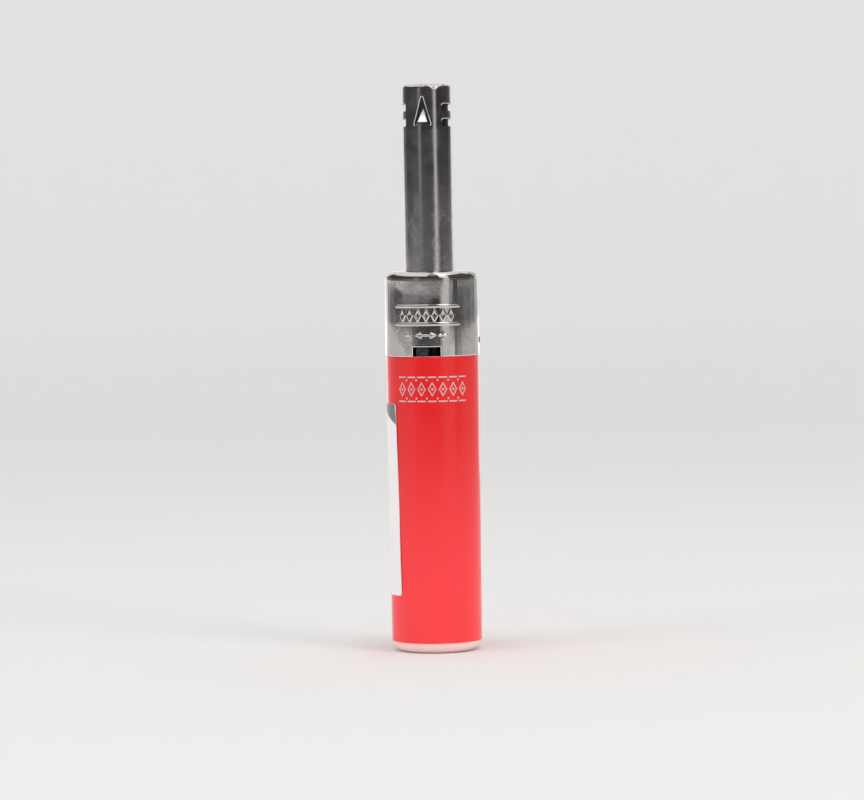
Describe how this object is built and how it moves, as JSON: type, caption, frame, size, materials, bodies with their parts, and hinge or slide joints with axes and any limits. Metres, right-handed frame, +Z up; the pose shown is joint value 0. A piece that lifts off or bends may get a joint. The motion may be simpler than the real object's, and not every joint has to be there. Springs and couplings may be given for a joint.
{
  "type": "butane torch",
  "caption": "Pocket refillable butane torch: round tank in a red sleeve, plated hood with thumb button and flame adjuster, slim steel flame tube with air slots.",
  "frame": {"origin": "centre of the base, where the refill inlet opens, on the plane that the foot ring stands on", "axes": "+Z up along the body towards the flame; -Y is the front, with the flame adjuster; +Y is the back, with the thumb button; +X to the right seen from the front"},
  "size_m": [0.0162, 0.0178, 0.0963],
  "materials": {
    "clear_plastic": "clear moulded plastic with a pink cast",
    "red_sleeve": "glossy red sleeve",
    "label_paper": "white paper label, blank",
    "natural_plastic": "natural acetal",
    "brass": "turned brass",
    "seal_rubber": "moulded seal rubber",
    "bright_steel": "bright steel",
    "spring_steel": "drawn spring wire",
    "porous_disc": "porous foam disc",
    "black_plastic": "black moulded plastic",
    "button_plastic": "black moulded plastic, ribbed grip",
    "die_cast": "zinc die casting",
    "nickel_hood": "nickel-plated sheet steel",
    "tube_steel": "plated steel tube with scuffs",
    "ceramic": "fired ceramic",
    "wire_cover": "insulated wire",
    "hose_plastic": "soft hose"
  },
  "bodies": {
    "body": {"reservoir": "clear_plastic", "colour_sleeve": "red_sleeve", "blank_label": "label_paper", "tank_lid": "natural_plastic", "refill_valve_body": "brass", "refill_seal": "seal_rubber", "valve_gasket": "seal_rubber", "flow_restrictor": "porous_disc", "head_frame": "black_plastic", "lever_pin": "bright_steel", "hood": "nickel_hood", "piezo_case": "natural_plastic", "strike_pad": "bright_steel", "piezo_crystal": "ceramic", "contact_cap": "brass", "spark_wire": "wire_cover", "ground_strap": "brass", "flame_tube": "tube_steel", "gas_hose": "hose_plastic", "nozzle_holder": "black_plastic", "burner_nozzle": "brass", "electrode": "bright_steel", "refill_spring": "spring_steel", "jet_spring": "spring_steel", "return_spring": "spring_steel"},
    "refill_valve": {"refill_poppet": "bright_steel"},
    "adjuster": {"flame_adjuster": "black_plastic", "valve_housing": "brass"},
    "jet": {"jet_stem": "brass", "jet_seal": "seal_rubber"},
    "lever": {"gas_lever": "die_cast"},
    "button": {"thumb_button": "button_plastic", "piezo_plunger": "natural_plastic", "hammer_spring": "spring_steel"},
    "hammer": {"piezo_hammer": "bright_steel"}
  },
  "joints": [
    {"name": "button_press", "type": "slide", "parent": "body", "child": "button", "axis": [0, 0, -1], "range_m": [0, 0.004], "stiffness_N_per_m": 2000, "deforming": ["return_spring"]},
    {"name": "lever_tilt", "type": "hinge", "parent": "body", "child": "lever", "pos_m": [0, 0.00025, 0.0551], "axis": [-1, 0, 0], "range_deg": [0, 14]},
    {"name": "jet_lift", "type": "slide", "parent": "body", "child": "jet", "axis": [0, 0, 1], "range_m": [0, 0.0006], "deforming": ["jet_spring"]},
    {"name": "hammer_strike", "type": "slide", "parent": "body", "child": "hammer", "axis": [0, 0, -1], "range_m": [0, 0.002], "deforming": ["hammer_spring"]},
    {"name": "adjuster_turn", "type": "hinge", "parent": "body", "child": "adjuster", "pos_m": [0, -0.00225, 0.0513], "axis": [0, 0, 1], "range_deg": [-6, 22]},
    {"name": "refill_valve_lift", "type": "slide", "parent": "body", "child": "refill_valve", "axis": [0, 0, 1], "range_m": [0, 0.0008], "stiffness_N_per_m": 400, "deforming": ["refill_spring"]}
  ],
  "couplings": [
    {"joint": "lever_tilt", "follows": "button_press", "rad_per_m": 61.08},
    {"joint": "jet_lift", "follows": "button_press", "ratio": 0.15},
    {"joint": "hammer_strike", "follows": "button_press", "ratio": 0.5}
  ]
}
